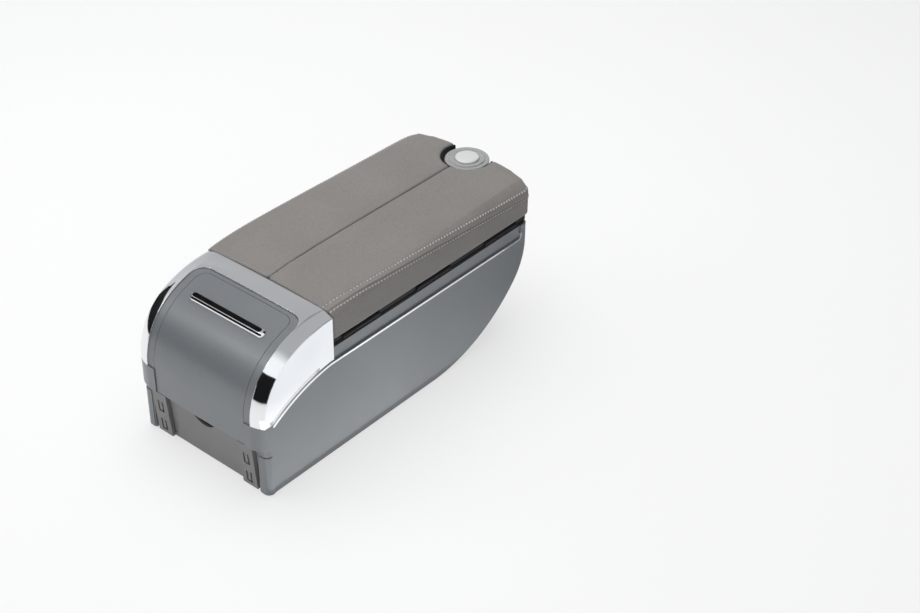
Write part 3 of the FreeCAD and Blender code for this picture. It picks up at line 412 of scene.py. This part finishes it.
def copied_solid(name, new_name):
    """A merged copy of a CAD node's mesh as an object of its own."""
    obj = bpy.data.objects.new(new_name, nodes[name].data.copy())
    scene.collection.objects.link(obj)
    obj.data.materials.clear()
    only(obj)
    bpy.ops.object.mode_set(mode="EDIT")
    bpy.ops.mesh.select_all(action="SELECT")
    bpy.ops.mesh.remove_doubles(threshold=0.00001)
    bpy.ops.object.mode_set(mode="OBJECT")
    return obj


pad_low, pad_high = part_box("lid_pad_right")
board_top = pad_low[2]
swell_cap = 0.5 * mm
glued_height = 1.5 * mm
cloth_steps = 20


def settled(mesh, values, rounds):
    """Values on the vertices, averaged with their neighbours a few times."""
    for turn in range(rounds):
        total = list(values)
        count = [1] * len(values)
        for edge in mesh.edges:
            a, b = edge.vertices
            total[a] += values[b]
            total[b] += values[a]
            count[a] += 1
            count[b] += 1
        values = [t / c for t, c in zip(total, count)]
    return values


def air_pressure(obj):
    """Swell the hide with its underside glued, and keep each point's share of the cap as a weight."""
    mesh = obj.data
    start = [(v.co.copy(), v.normal.copy()) for v in mesh.vertices]
    pins = obj.vertex_groups.new(name="glued")
    pins.add([v.index for v in mesh.vertices if v.co.z < board_top + glued_height], 1.0, "REPLACE")
    cloth = obj.modifiers.new("cloth", "CLOTH")
    settings = cloth.settings
    settings.quality = 6
    settings.mass = 0.3
    settings.use_pressure = True
    settings.uniform_pressure_force = 4.0
    settings.vertex_group_mass = "glued"
    settings.effector_weights.gravity = 0.0
    for step in range(1, cloth_steps + 1):
        scene.frame_set(step)
    only(obj)
    bpy.ops.object.modifier_apply(modifier=cloth.name)
    scene.frame_set(1)
    rise = [(v.co - co).dot(normal) / swell_cap for v, (co, normal) in zip(mesh.vertices, start)]
    rise = settled(mesh, [max(0.0, min(1.0, value)) for value in rise], 3)
    obj.vertex_groups.clear()
    swollen = obj.vertex_groups.new(name="swollen")
    for vertex, (co, normal), value in zip(mesh.vertices, start, rise):
        vertex.co = co
        swollen.add([vertex.index], value, "REPLACE")
    print(obj.name, "rises by up to", round(max(rise) * swell_cap / mm, 2), "mm")


# %% [markdown]
# Along each lid's outer top edge the top panel meets the side panel in a sewn seam, with a row of
# stitches on each side. The pair of rows starts on top at the near end and slopes over the rounded
# edge until it runs on the side at the far end. We follow it in an unrolled coordinate u: the
# distance over the edge from the middle of its rounding, positive on top, negative on the side.

# %% The seam's course
stitch_pitch = 3.4 * mm
far_corner = 6.0 * mm
seam_start = pad_low[1] + 1.5 * mm
seam_end = pad_high[1] - 12.5 * mm
far_corner_y = seam_end + 0.5 * mm
quarter_turn = 0.5 * math.pi
edge_middle = 0.25 * math.pi
right_upper_row = ((0.0, 11.3), (12.0, 9.5), (29.0, 7.2), (49.0, 5.4), (70.0, 4.0), (126.0, 1.5),
                   (200.0, -1.6), (253.0, -3.4))
right_lower_row = ((0.0, 3.2), (15.0, 1.2), (32.0, 0.2), (54.0, -1.4), (77.0, -2.6), (136.0, -5.2),
                   (200.0, -8.4), (253.0, -12.0))
left_upper_row = ((0.0, -1.5), (253.0, -3.8))
left_lower_row = ((0.0, -8.0), (253.0, -12.0))
seam_rows = {1: (right_upper_row, right_lower_row), -1: (left_upper_row, left_lower_row)}
crown_height = 139.8 * mm
crown_drop = 3.5 * mm
shoulder_height = 138.9 * mm
shoulder_drop = 5.3 * mm
drop_length = 24.0 * mm
near_edge_radius = 4.0 * mm
edge_radius_growth = 0.0315


def station_value(stations, y):
    """Value at this y from stations: distances from the pad's near end and values, both in mm."""
    distance = (y - pad_low[1]) / mm
    for (d0, v0), (d1, v1) in zip(stations, stations[1:]):
        if distance <= d1 or d1 == stations[-1][0]:
            part = max(0.0, min(1.0, (distance - d0) / (d1 - d0)))
            return (v0 + (v1 - v0) * part) * mm


def hide_levels(y):
    """Height of the hide by the centre seam and at its shoulder, and the radius of its outer edge."""
    run = max(0.0, y - pad_low[1])
    fade = math.exp(-run / drop_length)
    crown = crown_height - crown_drop * fade
    shoulder = shoulder_height - shoulder_drop * fade
    return crown, shoulder, near_edge_radius + edge_radius_growth * run


def outer_edge(y):
    """Radius of the rounded outer edge at this y, and the x and z of its centre."""
    crown, shoulder, radius = hide_levels(y)
    return radius, pad_high[0] - radius, shoulder - radius


def unrolled(co):
    """Unrolled coordinate of a point of the right lid."""
    radius, middle_x, middle_z = outer_edge(co.y)
    half_round = edge_middle * radius
    across = co.x - middle_x
    rise = co.z - middle_z
    past = co.y - far_corner_y
    if past > 0.0 and co.x > pad_high[0] - far_corner:
        across = math.hypot(co.x - pad_high[0] + far_corner, past) - far_corner + radius
    if across <= 0.0:
        return half_round - across
    if rise <= 0.0:
        return rise - half_round
    return (edge_middle - math.atan2(across, rise)) * radius


def edge_place(y, u):
    """Point and outward normal of the outer edge at this y and unrolled coordinate, as (x, z) pairs."""
    radius, middle_x, middle_z = outer_edge(y)
    half_round = edge_middle * radius
    if u >= half_round:
        return (middle_x - (u - half_round), middle_z + radius), (0.0, 1.0)
    if u <= -half_round:
        return (pad_high[0], middle_z + u + half_round), (1.0, 0.0)
    angle = edge_middle - u / radius
    out = (math.sin(angle), math.cos(angle))
    return (middle_x + radius * out[0], middle_z + radius * out[1]), out


print("seam from", round(seam_start, 4), "to", round(seam_end, 4))

# %% [markdown]
# Upholstery is softer than the form under it: the top is crowned, its outer edge grows rounder
# towards the far end, and the outer far corner sinks a little. So the net is let down onto that
# rounder shape before it is sewn.

# %% Round the form off
foot = board_top + 9.0 * mm
probe_x = 45.0 * mm
probe_height = 0.2
last_flat_y = pad_high[1] - 8.0 * mm
corner_sink = 1.8 * mm
corner_from_x = 42.0 * mm
corner_width = 20.0 * mm
corner_from_y = pad_high[1] - 22.0 * mm
corner_length = 18.0 * mm


def share(value):
    """The value held between 0 and 1."""
    return max(0.0, min(1.0, value))


def rounded_off(obj, tree):
    """Let the net of a right lid down onto the crowned top and the round outer edge."""
    for vertex in obj.data.vertices:
        co = vertex.co
        if co.z <= foot:
            continue
        crown, shoulder, radius = hide_levels(co.y)
        middle_x = pad_high[0] - radius
        part = share(co.x / middle_x)
        level = shoulder + (crown - shoulder) * (1.0 - 0.12 * part - 0.88 * part * part)
        probe = Vector((probe_x, min(co.y, last_flat_y), probe_height))
        top = tree.ray_cast(probe, Vector((0.0, 0.0, -1.0)))[0].z
        co.z = min(foot + (co.z - foot) * (shoulder - foot) / (top - foot) + crown - shoulder, level)
        out = Vector((co.x - middle_x, 0.0, co.z - shoulder + radius))
        if out.x > 0.0 and out.z > 0.0 and out.length > radius:
            co -= out * (1.0 - radius / out.length)
        outwards = share((co.x - corner_from_x) / corner_width)
        farwards = share((co.y - corner_from_y) / corner_length)
        co.z -= corner_sink * outwards * farwards ** 2
        vertex.co = co
    obj.data.update()


print("form rounded above", round(foot, 4))

# %% [markdown]
# The hide is drawn tight between the flat panels and the seam, so the rounding is nearly straight
# there and turns between the two rows. The rows pull the leather down into the foam, most of all at
# each stitch, and the turned edges of the two panels lift it on each side of the seam's fine groove.

# %% The cushion's shape
tightness = 0.85
inner_limit = 40.0 * mm
sewn_above = board_top + 8.0 * mm
wave_depth = 0.28 * mm
curl_height = 3.0 * mm


def bell(distance, width):
    """A smooth bump of this width that is 1 in its middle."""
    return math.exp(-(distance / width) ** 2)


def drawn_tight(co, side):
    """How far the tight hide moves a point of the rounding, towards the chords beside the seam."""
    radius, middle_x, middle_z = outer_edge(co.y)
    if co.x <= middle_x or co.z <= middle_z:
        return Vector((0.0, 0.0, 0.0))
    angle = math.atan2(co.x - middle_x, co.z - middle_z)
    turns = [edge_middle - station_value(row, co.y) / radius for row in seam_rows[side]]
    upper, lower = [max(0.0, min(quarter_turn, turn)) for turn in turns]
    for low, high in ((0.0, upper), (lower, quarter_turn)):
        if low < angle < high:
            part = (angle - low) / (high - low)
            sine = math.sin(low) + part * (math.sin(high) - math.sin(low)) - math.sin(angle)
            cosine = math.cos(low) + part * (math.cos(high) - math.cos(low)) - math.cos(angle)
            return tightness * radius * Vector((sine, 0.0, cosine))
    return Vector((0.0, 0.0, 0.0))


def sewn_depth(co, side):
    """How far the sewing lifts (positive) or pulls in a point of the right lid's cushion."""
    if co.y < pad_low[1] + 0.5 * mm or co.z < sewn_above or co.x < inner_limit:
        return 0.0
    u = unrolled(co)
    upper, lower = [station_value(row, co.y) for row in seam_rows[side]]
    ripple = (0.5 + 0.5 * math.cos(2.0 * math.pi * (co.y - seam_start) / stitch_pitch)) ** 2
    dip = bell(u - lower, 0.8 * mm) + bell(u - upper - 0.5 * mm, 1.0 * mm)
    ridge = 0.50 * bell(u - lower - 2.6 * mm, 1.1 * mm)
    groove = 0.55 * bell(u - lower - 1.3 * mm, 0.5 * mm)
    return (ridge - groove - (0.10 + 0.55 * ripple) * dip) * mm


def settle(obj, side):
    """Raise the hide by its swelling, sew it and let the foam settle in soft waves."""
    mesh = obj.data
    group = obj.vertex_groups.get("swollen")
    moved = []
    for vertex in mesh.vertices:
        co = vertex.co
        wave = noise.noise(Vector((co.x * 14.0 + side * 5.0, co.y * 11.0, co.z * 20.0)))
        depth = sewn_depth(co, side) + wave_depth * wave
        if group is not None:
            depth += swell_cap * sum(g.weight for g in vertex.groups if g.group == group.index)
        moved.append(co + vertex.normal * depth + drawn_tight(co, side))
    for vertex, co in zip(mesh.vertices, moved):
        rise = co.z - board_top
        if rise < curl_height and co.x > 60.0 * mm:
            co.x -= 0.28 * (curl_height - rise) ** 2 / mm
        co.x = max(co.x, 0.06 * mm)
        co.z = max(co.z, board_top + 0.02 * mm)
        vertex.co = co
    obj.vertex_groups.clear()


print("sewing ready, pitch", stitch_pitch)

# %% [markdown]
# Each cushion goes through the same steps: copy, remesh, press the new net back onto the solid's own
# surface, swell, refine along the seam, sew. Pressing it back keeps the upholstery's edges crisp, as
# on a hide pulled tight over moulded foam. The left lid is worked as a right one and mirrored back.

# %% Make the two cushions
net_size = 2.5 * mm
seam_half_width = 6.5 * mm
lid_sides = (("lid_pad_right", 1), ("lid_pad_left", -1))


def flip(obj):
    """Mirror a mesh across the middle plane and turn its faces back outwards."""
    obj.data.transform(Matrix.Scale(-1.0, 4, (1.0, 0.0, 0.0)))
    obj.data.flip_normals()


def refine_seam(obj, side):
    """Divide the faces along the seam once more, so that the stitches can pull at them."""
    only(obj)
    mesh = obj.data
    for polygon in mesh.polygons:
        co = polygon.center
        polygon.select = False
        if co.x > 45.0 * mm and co.z > board_top + 9.0 * mm:
            middle = 0.5 * sum(station_value(row, co.y) for row in seam_rows[side])
            polygon.select = abs(unrolled(co) - middle) < seam_half_width
    for edge in mesh.edges:
        edge.select = False
    for vertex in mesh.vertices:
        vertex.select = False
    bpy.ops.object.mode_set(mode="EDIT")
    bpy.ops.mesh.select_mode(type="FACE")
    bpy.ops.mesh.subdivide(number_cuts=1, smoothness=0.0)
    bpy.ops.object.mode_set(mode="OBJECT")


def make_cushion(node, side):
    """The upholstered cushion of one lid, worked as a right one."""
    form = copied_solid(node, "form")
    cushion = copied_solid(node, node.replace("lid_pad", "cushion"))
    if side < 0:
        flip(form)
        flip(cushion)
    apply_modifier(cushion, "REMESH", mode="VOXEL", voxel_size=net_size)
    air_pressure(cushion)
    apply_modifier(cushion, "SHRINKWRAP", target=form)
    apply_modifier(cushion, "SUBSURF", levels=1, render_levels=1)
    apply_modifier(cushion, "SHRINKWRAP", target=form)
    rounded_off(cushion, BVHTree.FromObject(form, bpy.context.evaluated_depsgraph_get()))
    apply_modifier(cushion, "SMOOTH", factor=0.5, iterations=2)
    bpy.data.objects.remove(form)
    refine_seam(cushion, side)
    refine_seam(cushion, side)
    settle(cushion, side)
    cushion.data.materials.append(leather)
    return cushion


cushions = {}
for node, side in lid_sides:
    cushions[node] = make_cushion(node, side)
    print(node, "cushion faces:", len(cushions[node].data.polygons))

# %% [markdown]
# A stitch is a short run of thread that dives into a needle hole at each end. One stitch is shaped
# from a small sphere, and copies of it are laid along each row, each one turned to the leather's
# own slope, which a ray cast onto the cushion gives.

# %% Lay the stitches
stitch_half = (0.62 * mm, 1.25 * mm, 0.56 * mm)
stitch_lift = 0.14 * mm
corner_stitches = 3
ray_start = 8.0 * mm
ray_length = 20.0 * mm
upper_slant = 0.85
lower_slant = 0.2
wobble_angle = 0.16


def one_stitch():
    """A slim bead of thread along Y, thick in its middle and pointed at both ends."""
    bpy.ops.mesh.primitive_uv_sphere_add(segments=6, ring_count=5, radius=1.0)
    bead = bpy.context.active_object
    bead.data.transform(Matrix.Rotation(math.pi / 2.0, 4, "X"))
    bead.data.transform(Matrix.Diagonal((*stitch_half, 1.0)))
    return bead


def row_hits(tree, stations):
    """Places and normals of a row's stitches on the cushion, round the far corner as well."""
    aims = []
    y = seam_start
    while y < seam_end:
        (x, z), (out_x, out_z) = edge_place(y, station_value(stations, y))
        aims.append((Vector((x, y, z)), Vector((out_x, 0.0, out_z))))
        y += stitch_pitch
    z = aims[-1][0].z
    middle = Vector((pad_high[0] - far_corner, far_corner_y, z))
    for turn in range(1, corner_stitches + 1):
        angle = turn * stitch_pitch / far_corner
        out = Vector((math.cos(angle), math.sin(angle), 0.0))
        aims.append((middle + out * far_corner, out))
    hits = [tree.ray_cast(place + out * ray_start, -out, ray_length) for place, out in aims]
    return [(hit[0], hit[1]) for hit in hits if hit[0] is not None]


def lay_row(hits, bead, name, side, slant):
    """One mesh of beads along the hits, each turned a little across the row."""
    row = bmesh.new()
    for number, (place, normal) in enumerate(hits):
        ahead = hits[min(number + 1, len(hits) - 1)][0]
        behind = hits[max(number - 1, 0)][0]
        along = (ahead - behind).normalized()
        across = along.cross(normal).normalized()
        wobble = Matrix.Rotation(slant + wobble_angle * math.sin(7.3 * number), 4, "Z")
        turned = Matrix((across, along, across.cross(along))).transposed().to_4x4() @ wobble
        stitch = bead.data.copy()
        stitch.transform(Matrix.Translation(place + normal * stitch_lift) @ turned)
        row.from_mesh(stitch)
        bpy.data.meshes.remove(stitch)
    mesh = bpy.data.meshes.new(name)
    row.to_mesh(mesh)
    row.free()
    mesh.materials.append(thread)
    obj = bpy.data.objects.new(name, mesh)
    scene.collection.objects.link(obj)
    if side < 0:
        flip(obj)
    only(obj)
    bpy.ops.object.shade_smooth()
    return obj


bead = one_stitch()
stitching = {}
for node, side in lid_sides:
    tree = BVHTree.FromObject(cushions[node], bpy.context.evaluated_depsgraph_get())
    word = "right" if side > 0 else "left"
    upper, lower = [row_hits(tree, stations) for stations in seam_rows[side]]
    stitching[node] = [lay_row(upper, bead, "stitches_upper_" + word, side, upper_slant),
                       lay_row(lower, bead, "stitches_lower_" + word, side, lower_slant)]
    print(node, "stitches:", len(upper), "and", len(lower))
bpy.data.objects.remove(bead)

# %% [markdown]
# The left cushion was worked as a right one, so it is mirrored back now, and the cushions take over
# from their plain solids. Cushion and stitches ride on their own lid, so they swing open with it.

# %% Put the cushions on the lids
flip(cushions["lid_pad_left"])
for node, body in (("lid_pad_right", "lid_right"), ("lid_pad_left", "lid_left")):
    cushion = cushions[node]
    only(cushion)
    bpy.ops.object.shade_smooth()
    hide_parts(node)
    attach(cushion, body)
    for row in stitching[node]:
        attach(row, body)
print("cushions on their lids")

# %% [markdown]
# The studio is plain: a pale floor and a white background. Camera and mirrors see both white, while
# the soft light that falls on the box from all round is weaker, so that its shadows keep their depth.

# %% Floor and world
floor_size = 8.0
floor_gap = 0.0003
floor_lift = 0.62
ambient_strength = 0.37


def pale_floor():
    """Matt white floor, lifted a little where the camera or a mirror looks at it."""
    material, tree, shader, place = start_material("pale_floor", 0.9)
    shader.inputs["Base Color"].default_value = (0.80, 0.80, 0.80, 1.0)
    shader.inputs["Specular IOR Level"].default_value = 0.1
    paths = tree.nodes.new("ShaderNodeLightPath")
    seen = math_step(tree, "MAXIMUM", paths.outputs["Is Camera Ray"], paths.outputs["Is Glossy Ray"])
    lifted = tree.nodes.new("ShaderNodeEmission")
    lifted.inputs["Strength"].default_value = 1.0
    both = tree.nodes.new("ShaderNodeMixShader")
    tree.links.new(math_step(tree, "MULTIPLY", seen, floor_lift), both.inputs["Fac"])
    tree.links.new(shader.outputs["BSDF"], both.inputs[1])
    tree.links.new(lifted.outputs["Emission"], both.inputs[2])
    tree.links.new(both.outputs["Shader"], tree.nodes["Material Output"].inputs["Surface"])
    return material


def white_world():
    """White background for camera and mirrors, and weaker light for everything else."""
    world = bpy.data.worlds.new("studio")
    world.use_nodes = True
    tree = world.node_tree
    ambient = tree.nodes["Background"]
    ambient.inputs["Color"].default_value = (0.95, 0.97, 1.0, 1.0)
    ambient.inputs["Strength"].default_value = ambient_strength
    seen_white = tree.nodes.new("ShaderNodeBackground")
    seen_white.inputs["Color"].default_value = (1.0, 1.0, 1.0, 1.0)
    seen_white.inputs["Strength"].default_value = 1.0
    paths = tree.nodes.new("ShaderNodeLightPath")
    seen = math_step(tree, "MAXIMUM", paths.outputs["Is Camera Ray"], paths.outputs["Is Glossy Ray"])
    either = math_step(tree, "MAXIMUM", seen, paths.outputs["Is Transmission Ray"])
    choice = tree.nodes.new("ShaderNodeMixShader")
    tree.links.new(either, choice.inputs["Fac"])
    tree.links.new(ambient.outputs["Background"], choice.inputs[1])
    tree.links.new(seen_white.outputs["Background"], choice.inputs[2])
    tree.links.new(choice.outputs["Shader"], tree.nodes["World Output"].inputs["Surface"])
    return world


for obj in bpy.context.selected_objects:
    obj.select_set(False)
bpy.ops.mesh.primitive_plane_add(size=floor_size, location=(0.0, 0.0, cad_bounds[0][2] - floor_gap))
floor = bpy.context.active_object
floor.name = "floor"
floor.data.materials.append(pale_floor())
scene.world = white_world()
print("floor and world ready")

# %% [markdown]
# Chrome looks like chrome only if it has something dark to reflect. Around the box stand black
# flags, white cards and grey walls, and four small cards lie on the floor beside the right wall,
# bright by the near end and dark towards the far end. Only mirrors see them; the camera and the
# soft light do not. A card's own X and Y run along its width and height.

# %% Cards for the mirrors
floor_card_height = 0.004
near_end = (0.0, -0.12, 0.11)


def card(name, place, target, size, low, high, axis="Y"):
    """A flat card facing its target, its glow running along its own X or Y from low to high."""
    material = bpy.data.materials.new(name)
    material.use_nodes = True
    tree = material.node_tree
    place_node = tree.nodes.new("ShaderNodeTexCoord")
    parts = tree.nodes.new("ShaderNodeSeparateXYZ")
    tree.links.new(place_node.outputs["Object"], parts.inputs["Vector"])
    glow = tree.nodes.new("ShaderNodeMapRange")
    reach = 0.5 * size["XY".index(axis)]
    glow.inputs["From Min"].default_value = -reach
    glow.inputs["From Max"].default_value = reach
    glow.inputs["To Min"].default_value = low
    glow.inputs["To Max"].default_value = high
    tree.links.new(parts.outputs[axis], glow.inputs["Value"])
    lit = tree.nodes.new("ShaderNodeEmission")
    lit.inputs["Color"].default_value = (0.96, 0.98, 1.0, 1.0)
    tree.links.new(glow.outputs["Result"], lit.inputs["Strength"])
    tree.links.new(lit.outputs["Emission"], tree.nodes["Material Output"].inputs["Surface"])
    bpy.ops.mesh.primitive_plane_add(size=1.0, location=place)
    obj = bpy.context.active_object
    obj.name = name
    obj.data.transform(Matrix.Diagonal((size[0], size[1], 1.0, 1.0)))
    obj.rotation_euler = (Vector(target) - Vector(place)).to_track_quat("Z", "Y").to_euler()
    obj.data.materials.append(material)
    obj.visible_camera = False
    obj.visible_diffuse = False
    obj.visible_transmission = False
    obj.visible_shadow = False


def floor_card(name, x, y, size, low, high, axis="Y"):
    """A card lying on the floor and facing up; its own X and Y point to -X and -Y of the scene."""
    card(name, (x, y, floor_card_height), (x, y, 1.0), size, low, high, axis)


card("front_flag", (0.0, -2.4, 0.95), (0.0, 0.0, 0.95), (5.0, 1.9), 0.012, 0.012)
card("front_card", (0.3, -1.79, 2.10), (0.3, -0.12, 0.11), (4.5, 1.106), 1.15, 1.10)
card("front_glint", (-1.12, -1.32, 1.56), (0.03, -0.13, 0.12), (0.42, 0.36), 4.5, 4.5)
card("front_fade", (0.0, -1.052, 2.537), near_end, (5.0, 0.64), 1.05, 0.47)
card("ceiling", (0.0, 0.9, 2.8), (0.0, 0.9, 0.0), (6.0, 4.2), 0.49, 0.49)
card("left_wall", (-2.8, 0.8, 1.4), (0.0, 0.8, 1.4), (4.4, 2.8), 0.88, 0.38, "X")
card("far_wall", (0.0, 3.0, 1.4), (0.0, 0.0, 1.4), (6.0, 2.8), 0.55, 0.42)
card("left_flag", (-0.30, -0.50, 0.15), (0.0, -0.50, 0.15), (0.8, 0.172), 0.012, 0.02)
card("right_flag", (1.75, 1.85, 1.3), (0.0, 0.0, 0.1), (2.8, 2.8), 0.015, 0.015)
floor_card("floor_glow", 0.111, -0.15, (0.078, 0.30), 1.05, 1.95, "X")
floor_card("floor_white", 0.21, -0.11, (0.12, 0.38), 1.05, 1.05)
floor_card("floor_fade", 0.111, 0.11, (0.078, 0.22), 0.30, 1.65)
floor_card("floor_dark", 0.12, 0.46, (0.09, 0.48), 0.30, 0.30)
card("ceiling_rail", (-0.9, 0.9, 2.6), (-0.9, 0.9, 0.0), (0.16, 3.0), 0.30, 0.30)
print("cards hung")

# %% [markdown]
# One large soft lamp hangs overhead. Two weaker ones fill the shadows, from the left and from low
# beside the near right corner. Mirrors don't see the lamps, only the cards.

# %% Lamps
def soft_lamp(name, place, target, size, power):
    """An area lamp of this size and power in watts, turned to its target."""
    data = bpy.data.lights.new(name, "AREA")
    data.shape = "RECTANGLE"
    data.size, data.size_y = size
    data.energy = power
    lamp = bpy.data.objects.new(name, data)
    lamp.location = place
    lamp.rotation_euler = (Vector(target) - Vector(place)).to_track_quat("-Z", "Y").to_euler()
    lamp.visible_glossy = False
    scene.collection.objects.link(lamp)


soft_lamp("overhead", (-0.25, 0.15, 1.25), (0.0, 0.0, 0.08), (1.3, 1.3), 15.0)
soft_lamp("left_fill", (-1.1, -0.9, 0.8), (0.0, -0.05, 0.06), (0.9, 0.7), 5.0)
soft_lamp("near_fill", (0.75, -0.95, 0.40), (0.05, -0.12, 0.05), (0.4, 0.4), 2.6)
print("lamps lit")

# %% [markdown]
# The camera stands above the near right corner and looks down along the box. Its place, its turn
# and its lens come from straight edges of known length, so the picture lines up with the reference.

# %% Camera
camera_place = Vector((0.838, -0.85675, 0.917))
azimuth = math.radians(39.92)
elevation = math.radians(35.60)
roll = math.radians(0.74)
level = math.cos(elevation)
ahead = Vector((-math.sin(azimuth) * level, math.cos(azimuth) * level, -math.sin(elevation)))
level_right = ahead.cross(Vector((0.0, 0.0, 1.0))).normalized()
level_up = level_right.cross(ahead)
right = math.cos(roll) * level_right + math.sin(roll) * level_up
above = math.cos(roll) * level_up - math.sin(roll) * level_right
camera_data = bpy.data.cameras.new("camera")
camera_data.sensor_width = 36.0
camera_data.lens = 68.62
camera = bpy.data.objects.new("camera", camera_data)
turn = Matrix((right, above, -ahead)).transposed().to_4x4()
camera.matrix_world = Matrix.Translation(camera_place) @ turn
scene.collection.objects.link(camera)
scene.camera = camera
scene.view_settings.view_transform = "Standard"
print("camera at", [round(value, 3) for value in camera_place])

# %% End of the scene
print("scene built")
